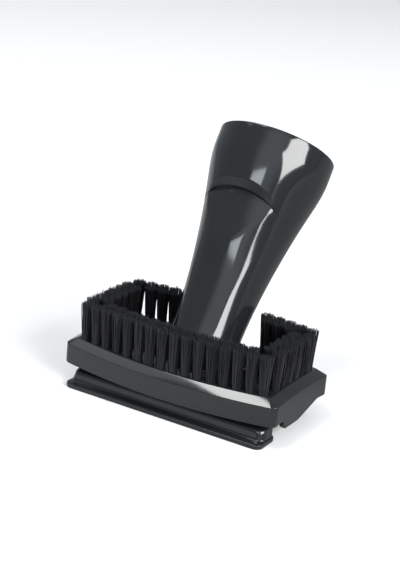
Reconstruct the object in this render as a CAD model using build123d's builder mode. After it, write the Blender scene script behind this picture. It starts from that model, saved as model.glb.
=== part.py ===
from build123d import *
import os
from math import cos, radians, sin

os.makedirs("parts", exist_ok=True)

# Brush frame, outer sizes in millimetres
frame_length = 82.0
frame_depth = 37.2
side_bulge = 4.2
corner_radius = 2.4
wall_height = 6.9
shoulder_rise = 1.9
side_shoulder_width = 2.4
end_shoulder_width = 3.4
crown = 1.0
half_length = frame_length / 2
half_depth = frame_depth / 2

# Brush frame, inner sizes
wall_thickness = 2.0
rail_width = 10.2
plate_underside = 2.6
cavity_corner_radius = 1.0
opening_corner_radius = 3.0

# Relief and saddle in the back rail, under the neck
relief_half_width = 13.6
relief_back = half_depth - 4.4
relief_corner_radius = 2.0
saddle_floor_half_width = 7.5
saddle_depth = 4.1
saddle_shoulder = 6.0

# End tabs with their snap hooks
tab_front = 6.3 - half_depth
tab_back = half_depth - 7.0
tab_drop = 2.7
tab_front_lean = 1.8
tab_flat = 9.0
tab_root = 3.0
tab_corner_radius = 1.6
hook_front = -4.0
hook_length = 10.0
hook_reach = 2.2
hook_height = 1.0
hook_top = 0.5

# Bristle tufts and their holes
tuft_margin = 1.7
row_spacing = 2.7
side_row_inset = side_shoulder_width + tuft_margin
end_row_inset = end_shoulder_width + tuft_margin
inner_row_lean = 1.6
front_tufts = 16
front_row_reach = half_length - 6.5
gap_tufts = 6
end_tufts = 6
end_row_reach = half_depth - 8.1
end_tuft_pitch = 2 * end_row_reach / (end_tufts - 1)
tuft_sides = 8
tuft_turn = 180.0 / tuft_sides
hole_radius = 1.4
hole_floor = 4.8
tuft_play = 0.05
tuft_base_radius = 1.35
tuft_tip_radius = 2.0
tuft_tip_level = 22.3

# Staple at the bottom of each hole
staple_length = 2.5
staple_thickness = 0.5
staple_height = 1.8
staple_slot_length = 4.0

# Neck: an axis that leans back from the frame
neck_lean = 33.3
neck_foot = half_depth - 22.6
neck_length = 87.5
socket_radius = 20.8
socket_straight = 6.0
shoulder_station = 20.5
shoulder_radius = 18.5
middle_station = 37.0
middle_radius = 15.35
lower_station = 53.3
lower_radius = 13.1
waist_height = 12.0
waist_station = neck_length - waist_height
waist_radius = 11.9
rim_round = 1.0

# Bore for the suction tube and the duct below it
bore_radius = 17.5
bore_depth = 16.0
bore_lead_in = 0.8
duct_top_radius = 15.3
duct_middle_radius = 13.2
duct_waist_radius = 9.9

# Thumb recess on the front of the neck
thumb_arch_station = 18.0
thumb_arch_slope = 0.6
thumb_depth = 1.5
thumb_shift = 3.1
thumb_end_station = 40.0

# Mouth and its front lip
sole_drop = 7.3
mouth_corner = 2.4
slot_corner = 1.2
mouth_half_length = half_length - 3.4
mouth_front = -half_depth - 0.2
mouth_back = mouth_front + 8.1
lip_front = mouth_front - 3.2
lip_top = -5.9
lip_root = -4.4
lip_half_length = mouth_half_length + 0.6
lip_corner_radius = 2.2
skin = 1.7
slot_front = mouth_front + skin
slot_back = mouth_back - skin

# Fan: three sections on its way from the waist to the mouth
neck_root_y = neck_foot + 1.2
neck_root_z = 4.2
neck_root_tilt = 24.0
neck_root_half_width = 18.5
neck_root_half_depth = 7.2
neck_root_corner = 6.4
flare_y = neck_foot - 4.6
flare_z = -1.4
flare_tilt = 10.0
flare_half_width = mouth_half_length - 5.6
flare_half_depth = 4.6
flare_corner = 3.9
jaw_y = mouth_back - 1.5
jaw_z = -2.9
jaw_half_width = mouth_half_length - 1.4
jaw_half_depth = 4.2
jaw_corner = 3.2
fan_corner_share = 0.98
duct_corner_share = 0.9

# Seat flange that carries the brush frame
flange_half_length = half_length - 3.5
flange_front = 4.0 - half_depth
flange_back = half_depth - 6.0
flange_thickness = 1.9
flange_corner_radius = 5.0

# Reach of the whole object, which sets the middle of its box
front_reach = half_depth + side_bulge
lean = radians(neck_lean)
rim_y = neck_foot + (neck_length - rim_round) * sin(lean)
back_reach = rim_y + (socket_radius - rim_round) * cos(lean) + rim_round
frame_y = (front_reach - back_reach) / 2
frame_z = sole_drop

# Planes that place the pieces
frame_plane = Plane((0, frame_y, frame_z))
end_plane = Plane((0, frame_y, frame_z), x_dir=(0, 1, 0), z_dir=(1, 0, 0))
back_plane = Plane((0, frame_y, frame_z), x_dir=(1, 0, 0), z_dir=(0, -1, 0))
neck_origin = (0, frame_y + neck_foot, frame_z)
neck_plane = Plane(neck_origin, x_dir=(1, 0, 0), z_dir=(0, sin(lean), cos(lean)))
neck_side = Plane(neck_origin, x_dir=(1, 0, 0), z_dir=(0, -cos(lean), sin(lean)))
neck_middle = Plane(neck_origin, x_dir=(0, cos(lean), -sin(lean)), z_dir=(1, 0, 0))
neck_axis = Axis(neck_origin, (0, sin(lean), cos(lean)))
scoop_origin = neck_plane.from_local_coords((0, thumb_shift, 0))
scoop_side = Plane(scoop_origin, x_dir=(1, 0, 0), z_dir=(0, -cos(lean), sin(lean)))
scoop_axis = Axis(scoop_origin, (0, sin(lean), cos(lean)))


def along(station):
    """Height on the neck axis of a station measured down from the rim."""
    return neck_length - station


def bulge_at(x):
    """How far a long side stands out at a place along it."""
    return side_bulge * (1 - (x / half_length) ** 2)


def crown_at(y):
    """How far the crowned surfaces rise at a place across the frame."""
    return crown * (1 - (y / half_depth) ** 2)


def bulged_outline(inset, radius):
    """Outline of the frame, moved inwards, with corners rounded unless the radius is nil."""
    reach_x = half_length - inset
    reach_y = half_depth - inset
    with BuildSketch() as outline:
        with BuildLine():
            ThreePointArc((-reach_x, -reach_y), (0, -reach_y - side_bulge), (reach_x, -reach_y))
            Line((reach_x, -reach_y), (reach_x, reach_y))
            ThreePointArc((reach_x, reach_y), (0, reach_y + side_bulge), (-reach_x, reach_y))
            Line((-reach_x, reach_y), (-reach_x, -reach_y))
        make_face()
        if radius > 0:
            fillet(outline.vertices(), radius)
    return outline.sketch


def fan_plane(y, z, tilt):
    """Plane of one fan section, tilted back from level."""
    turn = radians(tilt)
    return Plane((0, frame_y + y, frame_z + z), x_dir=(1, 0, 0), z_dir=(0, sin(turn), cos(turn)))


# Fan sections from the waist down to the mouth: y, z, tilt, half width, half depth, corner radius
waist_level = along(waist_station)
waist_y = neck_foot + waist_level * sin(lean)
waist_z = waist_level * cos(lean)
waist_corner = waist_radius * fan_corner_share
mouth_y = (mouth_front + mouth_back) / 2
mouth_half_depth = (mouth_back - mouth_front) / 2
waist_section = (waist_y, waist_z, neck_lean, waist_radius, waist_radius, waist_corner)
neck_root_size = (neck_root_half_width, neck_root_half_depth, neck_root_corner)
neck_root_section = (neck_root_y, neck_root_z, neck_root_tilt, *neck_root_size)
flare_section = (flare_y, flare_z, flare_tilt, flare_half_width, flare_half_depth, flare_corner)
jaw_section = (jaw_y, jaw_z, 0, jaw_half_width, jaw_half_depth, jaw_corner)
mouth_section = (mouth_y, lip_root, 0, mouth_half_length, mouth_half_depth, mouth_corner)
fan_sections = [waist_section, neck_root_section, flare_section, jaw_section, mouth_section]


def hollowed(section):
    """Section of the air way inside a fan section, one skin smaller all round."""
    y, z, tilt, half_width, half_thick, radius = section
    inner_thick = half_thick - skin
    return (y, z, tilt, half_width - skin, inner_thick, min(radius, inner_thick * duct_corner_share))


# Air way sections, with the waist and the slot at their own sizes
slot_y = (slot_front + slot_back) / 2
slot_half_depth = (slot_back - slot_front) / 2
slot_half_length = mouth_half_length - skin
duct_waist_corner = duct_waist_radius * fan_corner_share
duct_waist_section = (waist_y, waist_z, neck_lean, duct_waist_radius, duct_waist_radius, duct_waist_corner)
slot_section = (slot_y, lip_root, 0, slot_half_length, slot_half_depth, slot_corner)
duct_middle = [hollowed(section) for section in fan_sections[1:-1]]
duct_sections = [duct_waist_section, *duct_middle, slot_section]

# Tuft places on the frame
tuft_pitch = 2 * front_row_reach / (front_tufts - 1)
outer_xs = [tuft_pitch * i - front_row_reach for i in range(front_tufts)]
inner_xs = [x + tuft_pitch / 2 for x in outer_xs[1:-2]]
side_count = (front_tufts - gap_tufts) // 2
end_ys = [end_tuft_pitch * (i - (end_tufts - 1) / 2) for i in range(end_tufts)]
end_inner_ys = [y + end_tuft_pitch / 2 for y in end_ys[:-1]]


def long_row(xs, inset, side, lean_in):
    """Tufts along a long side: place and inward lean of the tip."""
    return [(x, side * (half_depth + bulge_at(x) - inset), 0, -side * lean_in) for x in xs]


def end_row(ys, inset, side, lean_in):
    """Tufts along an end: place and inward lean of the tip."""
    return [(side * (half_length - inset), y, -side * lean_in, 0) for y in ys]


tuft_rows = {
    "tufts_front_outer": long_row(outer_xs, side_row_inset, -1, 0),
    "tufts_front_inner": long_row(inner_xs, side_row_inset + row_spacing, -1, inner_row_lean),
    "tufts_right_outer": end_row(end_ys, end_row_inset, 1, 0),
    "tufts_right_inner": end_row(end_inner_ys, end_row_inset + row_spacing, 1, inner_row_lean),
    "tufts_left_outer": end_row(end_ys, end_row_inset, -1, 0),
    "tufts_left_inner": end_row(end_inner_ys, end_row_inset + row_spacing, -1, inner_row_lean),
    "tufts_back_right_outer": long_row(outer_xs[-side_count:], side_row_inset, 1, 0),
    "tufts_back_right_inner": long_row(inner_xs[2 - side_count:], side_row_inset + row_spacing, 1, inner_row_lean),
    "tufts_back_left_outer": long_row(outer_xs[:side_count], side_row_inset, 1, 0),
    "tufts_back_left_inner": long_row(inner_xs[:side_count - 2], side_row_inset + row_spacing, 1, inner_row_lean),
}


tuft_places = [(x, y) for row in tuft_rows.values() for x, y, tip_x, tip_y in row]
hole_plane = frame_plane.offset(hole_floor)


def top_at(y):
    """Height of the crowned top of the frame."""
    return frame_z + wall_height + shoulder_rise + crown_at(y)


# Arched upper edge and floor of the thumb recess, as one cutting shape
with BuildPart() as thumb_cutter:
    with BuildSketch(neck_middle):
        with BuildLine():
            arch_top = along(thumb_arch_station)
            Polyline(
                (-2 * shoulder_radius, arch_top + thumb_arch_slope * shoulder_radius),
                (0, arch_top - thumb_arch_slope * shoulder_radius),
                (0, along(waist_station)),
                (-2 * shoulder_radius, along(waist_station)),
                close=True,
            )
        make_face()
    extrude(amount=socket_radius, both=True)
    with BuildSketch(scoop_side):
        with BuildLine():
            top_radius = shoulder_radius + thumb_shift - thumb_depth
            end_radius = middle_radius + thumb_shift
            Polyline(
                (0, neck_length),
                (top_radius, neck_length),
                (top_radius, arch_top),
                (end_radius, along(thumb_end_station)),
                (end_radius, 0),
                (0, 0),
                close=True,
            )
        make_face()
    revolve(axis=scoop_axis, mode=Mode.SUBTRACT)

# Nozzle body: socket, neck, fan, mouth and seat flange in one moulding
with BuildPart() as nozzle_body:
    with BuildSketch(neck_side):
        with BuildLine():
            Line((0, along(waist_station)), (waist_radius, along(waist_station)))
            Spline(
                (waist_radius, along(waist_station)),
                (lower_radius, along(lower_station)),
                (middle_radius, along(middle_station)),
                (shoulder_radius, along(shoulder_station)),
                (socket_radius, along(socket_straight)),
                tangents=[(0, 1), (0, 1)],
            )
            Line((socket_radius, along(socket_straight)), (socket_radius, neck_length))
            Line((socket_radius, neck_length), (0, neck_length))
            Line((0, neck_length), (0, along(waist_station)))
        make_face()
    revolve(axis=neck_axis)
    fillet(nozzle_body.edges().group_by(Axis(neck_axis.position, neck_axis.direction))[-1], rim_round)
    add(thumb_cutter.part, mode=Mode.SUBTRACT)
    for y, z, tilt, half_width, half_thick, radius in fan_sections:
        with BuildSketch(fan_plane(y, z, tilt)):
            RectangleRounded(2 * half_width, 2 * half_thick, radius)
    loft()
    # Mouth block down to the sole
    with BuildSketch(frame_plane.offset(-sole_drop)):
        with Locations((0, mouth_y)):
            RectangleRounded(2 * mouth_half_length, 2 * mouth_half_depth, mouth_corner)
    extrude(amount=sole_drop + lip_root)
    # Front lip
    with BuildSketch(end_plane):
        with BuildLine():
            Polyline(
                (mouth_front + skin, lip_root),
                (mouth_front, lip_root),
                (lip_front, lip_top),
                (lip_front, -sole_drop),
                (mouth_front + skin, -sole_drop),
                close=True,
            )
        make_face()
    extrude(amount=lip_half_length, both=True)
    fillet(nozzle_body.edges().filter_by(Axis.Z).sort_by(Axis.Y)[:2], lip_corner_radius)
    # Seat flange under the brush frame
    with BuildSketch(frame_plane.offset(plate_underside - flange_thickness)):
        with Locations((0, (flange_front + flange_back) / 2)):
            RectangleRounded(2 * flange_half_length, flange_back - flange_front, flange_corner_radius)
    extrude(amount=flange_thickness)
    # Air way from the mouth slot to the neck
    for y, z, tilt, half_width, half_thick, radius in duct_sections:
        with BuildSketch(fan_plane(y, z, tilt)):
            RectangleRounded(2 * half_width, 2 * half_thick, radius)
    loft(mode=Mode.SUBTRACT)
    with BuildSketch(frame_plane.offset(-sole_drop)):
        with Locations((0, slot_y)):
            RectangleRounded(2 * slot_half_length, 2 * slot_half_depth, slot_corner)
    extrude(amount=sole_drop + lip_root, mode=Mode.SUBTRACT)
    with BuildSketch(neck_side):
        with BuildLine():
            Line((0, along(waist_station)), (duct_waist_radius, along(waist_station)))
            Spline(
                (duct_waist_radius, along(waist_station)),
                (duct_middle_radius, along(middle_station)),
                (duct_top_radius, along(bore_depth)),
            )
            Line((duct_top_radius, along(bore_depth)), (bore_radius, along(bore_depth)))
            Line((bore_radius, along(bore_depth)), (bore_radius, along(bore_lead_in)))
            Line((bore_radius, along(bore_lead_in)), (bore_radius + bore_lead_in, neck_length))
            Line((bore_radius + bore_lead_in, neck_length), (0, neck_length))
            Line((0, neck_length), (0, along(waist_station)))
        make_face()
    revolve(axis=neck_axis, mode=Mode.SUBTRACT)
nozzle_body.part.label = "nozzle_body"
export_step(nozzle_body.part, "parts/nozzle_body.step")

# Brush frame: crowned block, sloped shoulder, cavity, opening, holes and end tabs
with BuildPart() as brush_frame:
    with BuildSketch(frame_plane.offset(-wall_height)):
        add(bulged_outline(0, 0))
    extrude(amount=3 * wall_height)
    with BuildSketch(end_plane):
        with BuildLine():
            reach = frame_depth
            low = crown_at(reach)
            top = wall_height + shoulder_rise
            ThreePointArc((-reach, low), (0, crown), (reach, low))
            Line((reach, low), (reach, low + top))
            ThreePointArc((reach, low + top), (0, crown + top), (-reach, low + top))
            Line((-reach, low + top), (-reach, low))
        make_face()
    extrude(amount=frame_length, both=True, mode=Mode.INTERSECT)
    # Sloped shoulder, narrower along the sides than at the ends
    side_top = brush_frame.faces().sort_by(Axis.Z)[-1]
    side_edges = side_top.outer_wire().edges().sort_by(Axis.Y)
    chamfer([side_edges[0], side_edges[-1]], side_shoulder_width, shoulder_rise, reference=side_top)
    end_top = brush_frame.faces().sort_by(Axis.Z)[-1]
    end_edges = end_top.outer_wire().edges().sort_by(Axis.X)
    chamfer([end_edges[0], end_edges[-1]], end_shoulder_width, shoulder_rise, reference=end_top)
    fillet(brush_frame.edges().filter_by(Axis.Z), corner_radius)
    with BuildSketch(frame_plane.offset(plate_underside)):
        add(bulged_outline(wall_thickness, cavity_corner_radius))
    extrude(amount=-2 * wall_height, mode=Mode.SUBTRACT)
    with BuildSketch(frame_plane):
        add(bulged_outline(rail_width, opening_corner_radius))
    extrude(amount=2 * wall_height, mode=Mode.SUBTRACT)
    # Relief and saddle under the neck
    with BuildSketch(frame_plane):
        with Locations((0, relief_back / 2)):
            RectangleRounded(2 * relief_half_width, relief_back, relief_corner_radius)
    extrude(amount=2 * wall_height, mode=Mode.SUBTRACT)
    with BuildSketch(back_plane):
        with BuildLine():
            saddle_top = wall_height + shoulder_rise + crown
            saddle_low = wall_height + shoulder_rise - saddle_depth
            saddle_edge = saddle_floor_half_width + saddle_shoulder
            Spline(
                (-saddle_edge, saddle_top),
                (-saddle_floor_half_width, saddle_low),
                tangents=[(1, 0), (1, 0)],
            )
            Line((-saddle_floor_half_width, saddle_low), (saddle_floor_half_width, saddle_low))
            Spline(
                (saddle_floor_half_width, saddle_low),
                (saddle_edge, saddle_top),
                tangents=[(1, 0), (1, 0)],
            )
            Line((saddle_edge, saddle_top), (-saddle_edge, saddle_top))
        make_face()
    extrude(amount=-frame_depth, mode=Mode.SUBTRACT)
    # Tuft holes
    with BuildSketch(hole_plane):
        with Locations(*tuft_places):
            RegularPolygon(hole_radius, tuft_sides, rotation=tuft_turn)
    extrude(amount=2 * wall_height, mode=Mode.SUBTRACT)
    # End tabs
    for side in (-1, 1):
        with BuildSketch(end_plane.offset(side * (half_length - wall_thickness / 2))) as tab:
            with BuildLine():
                Polyline(
                    (tab_front, tab_root),
                    (tab_front + tab_front_lean, -tab_drop),
                    (tab_front + tab_front_lean + tab_flat, -tab_drop),
                    (tab_back, crown_at(tab_back)),
                    (tab_back, tab_root),
                    close=True,
                )
            make_face()
            fillet(tab.vertices().group_by(Axis.Y)[0], tab_corner_radius)
        extrude(amount=wall_thickness / 2, both=True)
        with BuildSketch(back_plane.offset(-hook_front)):
            inner = half_length - wall_thickness
            with BuildLine():
                Polyline(
                    (side * (inner + wall_thickness / 2), hook_top),
                    (side * (inner - hook_reach), hook_top),
                    (side * inner, hook_top - hook_height),
                    (side * (inner + wall_thickness / 2), hook_top - hook_height),
                    close=True,
                )
            make_face()
        extrude(amount=-hook_length)
brush_frame.part.label = "brush_frame"
export_step(brush_frame.part, "parts/brush_frame.step")

# Bristle tufts, one node for each row
for row_name, row in tuft_rows.items():
    with BuildPart() as tuft_row:
        for x, y, tip_x, tip_y in row:
            with BuildSketch(hole_plane):
                with Locations((x, y)):
                    RegularPolygon(hole_radius - tuft_play, tuft_sides, rotation=tuft_turn)
            with BuildSketch(Plane((x, frame_y + y, top_at(y)))):
                RegularPolygon(tuft_base_radius, tuft_sides, rotation=tuft_turn)
            with BuildSketch(Plane((x + tip_x, frame_y + y + tip_y, frame_z + tuft_tip_level))):
                RegularPolygon(tuft_tip_radius, tuft_sides, rotation=tuft_turn)
            loft(ruled=True)
        with BuildSketch(hole_plane):
            with Locations(*[(x, y) for x, y, tip_x, tip_y in row]):
                Rectangle(staple_slot_length, staple_thickness)
        extrude(amount=staple_height, mode=Mode.SUBTRACT)
    tuft_row.part.label = row_name
    export_step(tuft_row.part, f"parts/{row_name}.step")

# Staples, alike and in one node
with BuildPart() as tuft_staples:
    with BuildSketch(hole_plane):
        with Locations(*tuft_places):
            Rectangle(staple_length, staple_thickness)
    extrude(amount=staple_height)
tuft_staples.part.label = "tuft_staples"
export_step(tuft_staples.part, "parts/tuft_staples.step")
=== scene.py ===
"""Looks of a vacuum furniture brush: moulded nozzle, clipped-on brush frame and bristle tufts."""

import logging
import math
import random
from collections.abc import Sequence
from dataclasses import astuple, dataclass
from enum import Enum

import bpy
import numpy as np
from mathutils import Matrix, Vector


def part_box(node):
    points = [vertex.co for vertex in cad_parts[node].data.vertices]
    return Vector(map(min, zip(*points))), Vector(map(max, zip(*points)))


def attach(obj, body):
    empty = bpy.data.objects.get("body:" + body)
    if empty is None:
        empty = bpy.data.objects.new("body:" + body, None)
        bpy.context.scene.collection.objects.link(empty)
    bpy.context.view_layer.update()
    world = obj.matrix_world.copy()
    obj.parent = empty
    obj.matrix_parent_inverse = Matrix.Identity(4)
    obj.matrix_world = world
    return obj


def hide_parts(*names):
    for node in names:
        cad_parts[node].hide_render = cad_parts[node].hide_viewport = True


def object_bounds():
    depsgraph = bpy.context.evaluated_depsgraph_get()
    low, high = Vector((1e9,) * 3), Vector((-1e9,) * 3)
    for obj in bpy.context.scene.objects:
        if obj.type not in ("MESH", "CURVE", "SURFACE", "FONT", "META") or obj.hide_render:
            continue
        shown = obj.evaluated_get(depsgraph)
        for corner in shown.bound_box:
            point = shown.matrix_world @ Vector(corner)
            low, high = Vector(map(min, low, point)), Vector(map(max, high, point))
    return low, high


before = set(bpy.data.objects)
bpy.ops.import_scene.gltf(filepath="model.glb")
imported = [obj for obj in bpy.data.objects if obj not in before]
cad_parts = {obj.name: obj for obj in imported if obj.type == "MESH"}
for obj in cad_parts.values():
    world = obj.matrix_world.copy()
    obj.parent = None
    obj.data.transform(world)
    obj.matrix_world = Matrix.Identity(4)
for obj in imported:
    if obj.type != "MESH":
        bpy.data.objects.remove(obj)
CAD_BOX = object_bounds()
MM = 0.001
MERGE_DISTANCE = 1e-6
SMOOTH_ANGLE = math.radians(28)
CLOUD_DETAIL = 3
GRAIN_DETAIL = 2
LOG = logging.getLogger("furniture_brush")
Triple = tuple[float, float, float]
Values = float | np.ndarray


class Side(Enum):
    """The two halves of the object, by the sign of X or Y."""

    LOW = -1
    HIGH = 1


class Row(Enum):
    """What a row of the brush frame's profile follows in height."""

    BOTTOM = "bottom"
    TOP = "top"
    LEVEL = "level"


def deselect_all() -> None:
    """Leaves nothing selected, so that the next operator acts on its own piece."""
    bpy.ops.object.select_all(action="DESELECT")


def face_outwards() -> None:
    """Turns every face of the mesh in edit mode outwards and leaves edit mode."""
    bpy.ops.mesh.select_all(action="SELECT")
    bpy.ops.mesh.normals_make_consistent(inside=False)
    bpy.ops.object.mode_set(mode="OBJECT")


def eased(t: Values) -> Values:
    """Share from 0 to 1 that starts and ends level."""
    return t * t * (3 - 2 * t)


def whole_loop(quarter: np.ndarray) -> np.ndarray:
    """Closed loop from its front right quarter, mirrored to the back and then to the left."""
    right = np.concatenate([quarter, (quarter * [1, -1])[::-1][1:]])
    return np.concatenate([right, (right * [-1, 1])[::-1][1:]])


def tilted_loop(flat: tuple[Values, Values], y: Values, z: Values, tilt: float) -> np.ndarray:
    """Places of a flat loop that leans back.

    Args:
        flat: X and depth round the loop.
        y: Y of its middle.
        z: Z of its middle.
        tilt: Lean in degrees.

    Returns:
        X, Y and Z round the loop, one place in each row.
    """
    x, across = flat
    turn = math.radians(tilt)
    return np.stack([x, y + across * math.cos(turn), z - across * math.sin(turn)], 1)


def hermite_curve(stations: Sequence, values: Sequence, at: Values) -> Values:
    """Smooth curve through values at stations, without overshoot.

    Args:
        stations: Rising places of the known values.
        values: The known values.
        at: Places to read.

    Returns:
        The curve's values at those places.
    """
    x, y = np.asarray(stations, float), np.asarray(values, float)
    step = np.diff(x)
    rise = np.diff(y) / step
    slope = np.zeros_like(y)
    slope[0], slope[-1] = rise[0], rise[-1]
    for i in range(1, len(y) - 1):
        if rise[i - 1] * rise[i] > 0:
            near, far = 2 * step[i] + step[i - 1], step[i] + 2 * step[i - 1]
            slope[i] = (near + far) / (near / rise[i - 1] + far / rise[i])
    place = np.clip(at, x[0], x[-1])
    i = np.clip(np.searchsorted(x, place, side="right") - 1, 0, len(step) - 1)
    t = (place - x[i]) / step[i]
    start = (1 + 2 * t) * (1 - t) ** 2 * y[i] + t * (1 - t) ** 2 * step[i] * slope[i]
    end = t**2 * (3 - 2 * t) * y[i + 1] + t**2 * (t - 1) * step[i] * slope[i + 1]
    return start + end


def even_curve(stations: Sequence, values: Sequence, at: Values) -> Values:
    """Curve of even curvature through values at stations, level at both ends.

    Args:
        stations: Rising places of the known values.
        values: The known values.
        at: Places to read.

    Returns:
        The curve's values at those places.
    """
    x, y = np.asarray(stations, float), np.asarray(values, float)
    step, count = np.diff(x), len(x)
    rise = np.diff(y) / step
    system, pull = np.zeros((count, count)), np.zeros(count)
    system[0, :2], pull[0] = (2 * step[0], step[0]), 6 * rise[0]
    system[-1, -2:], pull[-1] = (step[-1], 2 * step[-1]), -6 * rise[-1]
    for i in range(1, count - 1):
        system[i, i - 1 : i + 2] = step[i - 1], 2 * (step[i - 1] + step[i]), step[i]
        pull[i] = 6 * (rise[i] - rise[i - 1])
    bend = np.linalg.solve(system, pull)
    place = np.clip(at, x[0], x[-1])
    i = np.clip(np.searchsorted(x, place, side="right") - 1, 0, len(step) - 1)
    before, after, h = x[i + 1] - place, place - x[i], step[i]
    curved = (bend[i] * before**3 + bend[i + 1] * after**3) / (6 * h)
    straight = (y[i] / h - bend[i] * h / 6) * before + (y[i + 1] / h - bend[i + 1] * h / 6) * after
    return curved + straight


def rounded_path(points: list[tuple], radii: list[float], steps: int = 4) -> np.ndarray:
    """Open path with its inner corners rounded.

    Args:
        points: Corners of the path, as pairs.
        radii: Rounding radius of each inner corner.
        steps: Segments in each rounding.

    Returns:
        The path's points, one pair in each row.
    """
    corners = [np.asarray(p, float) for p in points]
    path = [corners[0]]
    for before, corner, after, radius in zip(corners, corners[1:], corners[2:], radii):
        back = (before - corner) / np.linalg.norm(before - corner)
        on = (after - corner) / np.linalg.norm(after - corner)
        half = math.acos(float(np.clip(back @ on, -1, 1))) / 2
        reach = radius / math.tan(half)
        start, end = corner + back * reach, corner + on * reach
        for t in np.linspace(0, 1, steps + 1):
            path.append((1 - t) ** 2 * start + 2 * t * (1 - t) * corner + t**2 * end)
    path.append(corners[-1])
    return np.array(path)


def wrapped_grid(name: str, points: np.ndarray) -> bpy.types.Object:
    """Mesh made by wrapping a flat grid over a surface and merging the edges that meet.

    Args:
        name: Name of the piece.
        points: Rows and columns of places in millimetres, in the row frame.

    Returns:
        The new object, closed where its first and last rows or columns fall together.
    """
    rows, columns = points.shape[:2]
    deselect_all()
    bpy.ops.mesh.primitive_grid_add(x_subdivisions=columns - 1, y_subdivisions=rows - 1, size=1)
    piece = bpy.context.object
    piece.name = piece.data.name = name
    piece.data.vertices.foreach_set("co", (points * MM).astype(np.float32).ravel())
    bpy.ops.object.mode_set(mode="EDIT")
    bpy.ops.mesh.select_all(action="SELECT")
    bpy.ops.mesh.remove_doubles(threshold=MERGE_DISTANCE)
    face_outwards()
    return piece


def joined(name: str, pieces: list[bpy.types.Object]) -> bpy.types.Object:
    """One piece from several, shaded smooth except at its edges.

    Args:
        name: Name of the piece.
        pieces: The meshes to join.

    Returns:
        The joined object.
    """
    deselect_all()
    for piece in pieces:
        piece.select_set(True)
    bpy.context.view_layer.objects.active = pieces[0]
    if len(pieces) > 1:
        bpy.ops.object.join()
    piece = bpy.context.object
    piece.name = piece.data.name = name
    bpy.ops.object.shade_smooth_by_angle(angle=SMOOTH_ANGLE)
    return piece


@dataclass(frozen=True)
class ObjectFrame:
    """Where the brush frame's own coordinates stand in the row frame, in millimetres."""

    sole_drop: float = 7.3

    def origin(self) -> np.ndarray:
        """Middle of the brush frame at the level of its wall foot."""
        low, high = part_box("brush_frame")
        return np.array([0.0, (low.y + high.y) / 2 / MM, self.sole_drop])


@dataclass(frozen=True)
class Section:
    """One cross-section of the nozzle: place, tilt, half width, half depth and corner radius."""

    y: float
    z: float
    tilt: float
    half_width: float
    half_depth: float
    corner: float


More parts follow.
